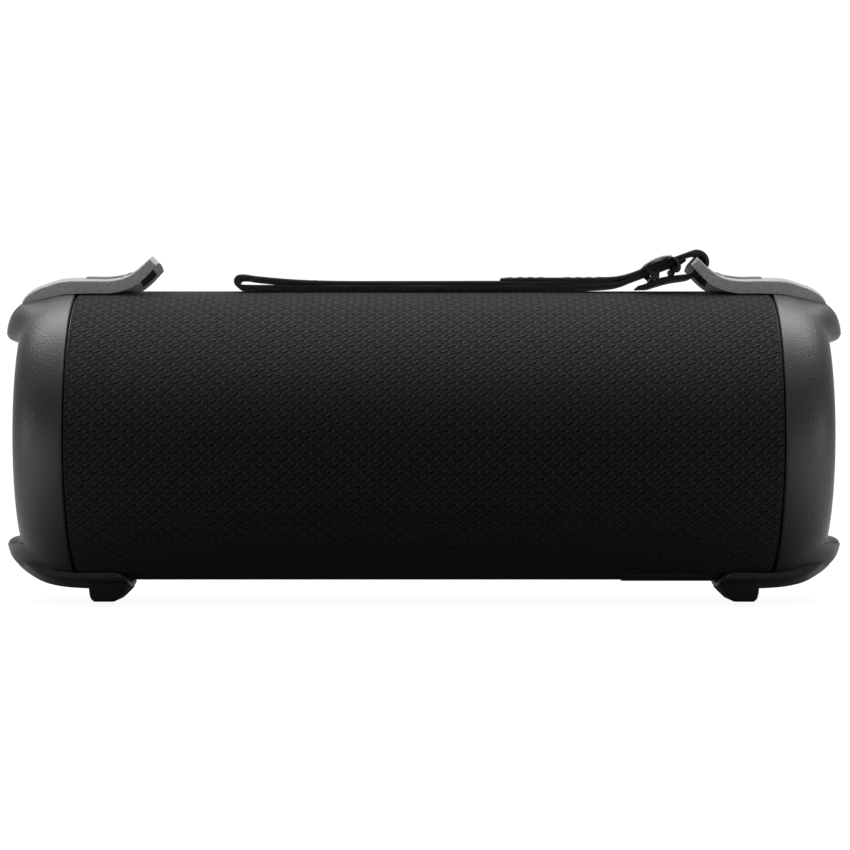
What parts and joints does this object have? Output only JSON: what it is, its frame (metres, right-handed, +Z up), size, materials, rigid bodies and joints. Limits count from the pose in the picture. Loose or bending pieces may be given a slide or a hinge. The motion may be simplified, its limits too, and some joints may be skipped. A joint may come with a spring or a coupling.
{
  "type": "portable speaker",
  "caption": "Portable fabric-wrapped barrel speaker with bumper end caps, strap horns, rubber feet, passive radiators, keys and a webbing hand strap.",
  "frame": {"origin": "middle of the footprint, on the surface the rubber feet stand on", "axes": "+X along the barrel towards the end that holds the strap, -Y towards the viewer, +Z up"},
  "size_m": [0.2208, 0.0778, 0.0943],
  "materials": {
    "fabric": "tight near-black speaker cloth with staggered slanted cells",
    "webbing": "black woven webbing",
    "housing_plastic": "fine-grained satin near-black plastic",
    "inner_plastic": "moulded black plastic",
    "key_plastic": "soft-touch black key",
    "slider_plastic": "smooth black moulded slider",
    "rubber": "matte black rubber",
    "steel": "plain steel",
    "disc_metal": "satin black weighted disc",
    "magnet": "dark ferrite and steel",
    "paper_cone": "pressed black cone",
    "coil_copper": "wound copper",
    "spider_cloth": "corrugated yellow cloth",
    "cell_wrap": "shrink-wrapped cells",
    "circuit_board": "green solder mask",
    "components": "black component cases",
    "wire": "insulated wire",
    "led_lens": "frosted light pipe"
  },
  "bodies": {
    "speaker": {"fabric_sleeve": "fabric", "grille_tube": "inner_plastic", "enclosure_front": "housing_plastic", "enclosure_rear": "housing_plastic", "enclosure_gasket": "rubber", "enclosure_screws": "steel", "end_cap_left": "housing_plastic", "end_cap_right": "housing_plastic", "end_seal_left": "rubber", "end_seal_right": "rubber", "radiator_frame_left": "inner_plastic", "radiator_frame_right": "inner_plastic", "radiator_surround_left": "rubber", "radiator_surround_right": "rubber", "radiator_screws": "steel", "driver_basket_left": "steel", "driver_basket_right": "steel", "driver_magnet_left": "magnet", "driver_magnet_right": "magnet", "driver_surround_left": "rubber", "driver_surround_right": "rubber", "driver_spider_left": "spider_cloth", "driver_spider_right": "spider_cloth", "driver_screws": "steel", "battery_cells": "cell_wrap", "battery_cradle": "inner_plastic", "main_board": "circuit_board", "board_parts": "components", "wiring": "wire", "port_board": "circuit_board", "usb_socket": "steel", "aux_socket": "rubber", "port_bezel": "rubber", "key_panel": "rubber", "key_board": "circuit_board", "key_switches": "components", "status_leds": "led_lens", "top_bracket_left": "housing_plastic", "top_bracket_right": "housing_plastic", "bracket_pad_left": "rubber", "bracket_pad_right": "rubber", "bottom_bracket_left": "housing_plastic", "bottom_bracket_right": "housing_plastic", "foot_left": "rubber", "foot_right": "rubber", "bracket_screws": "steel"},
    "radiator_left": {"radiator_disc_left": "disc_metal"},
    "driver_left": {"driver_cone_left": "paper_cone", "voice_coil_left": "coil_copper"},
    "radiator_right": {"radiator_disc_right": "disc_metal"},
    "driver_right": {"driver_cone_right": "paper_cone", "voice_coil_right": "coil_copper"},
    "power_key": {"power_key": "key_plastic"},
    "pair_key": {"pair_key": "key_plastic"},
    "minus_key": {"minus_key": "key_plastic"},
    "play_key": {"play_key": "key_plastic"},
    "plus_key": {"plus_key": "key_plastic"},
    "port_cover": {"port_cover": "rubber"},
    "hand_strap": {"hand_strap": "webbing"},
    "strap_slider": {"strap_slider": "slider_plastic"}
  },
  "joints": [
    {"name": "radiator_travel_left", "type": "slide", "parent": "speaker", "child": "radiator_left", "axis": [-1, 0, 0], "range_m": [-0.0025, 0.0025], "stiffness_N_per_m": 900, "deforming": ["radiator_surround_left"]},
    {"name": "radiator_travel_right", "type": "slide", "parent": "speaker", "child": "radiator_right", "axis": [1, 0, 0], "range_m": [-0.0025, 0.0025], "stiffness_N_per_m": 900, "deforming": ["radiator_surround_right"]},
    {"name": "driver_travel_left", "type": "slide", "parent": "speaker", "child": "driver_left", "axis": [0, 1, 0], "range_m": [-0.0015, 0.0015], "stiffness_N_per_m": 700, "deforming": ["driver_surround_left", "driver_spider_left"]},
    {"name": "driver_travel_right", "type": "slide", "parent": "speaker", "child": "driver_right", "axis": [0, 1, 0], "range_m": [-0.0015, 0.0015], "stiffness_N_per_m": 700, "deforming": ["driver_surround_right", "driver_spider_right"]},
    {"name": "power_key_press", "type": "slide", "parent": "speaker", "child": "power_key", "axis": [0, -0.4695, -0.8829], "range_m": [0, 0.0008], "stiffness_N_per_m": 500, "springref_m": -0.0006},
    {"name": "pair_key_press", "type": "slide", "parent": "speaker", "child": "pair_key", "axis": [0, -0.4695, -0.8829], "range_m": [0, 0.0008], "stiffness_N_per_m": 500, "springref_m": -0.0006},
    {"name": "minus_key_press", "type": "slide", "parent": "speaker", "child": "minus_key", "axis": [0, -0.4695, -0.8829], "range_m": [0, 0.0008], "stiffness_N_per_m": 500, "springref_m": -0.0006},
    {"name": "play_key_press", "type": "slide", "parent": "speaker", "child": "play_key", "axis": [0, -0.4695, -0.8829], "range_m": [0, 0.0008], "stiffness_N_per_m": 500, "springref_m": -0.0006},
    {"name": "plus_key_press", "type": "slide", "parent": "speaker", "child": "plus_key", "axis": [0, -0.4695, -0.8829], "range_m": [0, 0.0008], "stiffness_N_per_m": 500, "springref_m": -0.0006},
    {"name": "cover_hinge", "type": "hinge", "parent": "speaker", "child": "port_cover", "pos_m": [0.0653, 0.00548, 0.00544], "axis": [1, 0, 0], "range_deg": [0, 150]},
    {"name": "strap_swing", "type": "hinge", "parent": "speaker", "child": "hand_strap", "pos_m": [0.0726, 0, 0.0902], "axis": [0, 1, 0], "range_deg": [0, 120]},
    {"name": "slider_shift", "type": "slide", "parent": "hand_strap", "child": "strap_slider", "axis": [-0.9272, 0, -0.3746], "range_m": [0, 0.003]}
  ]
}
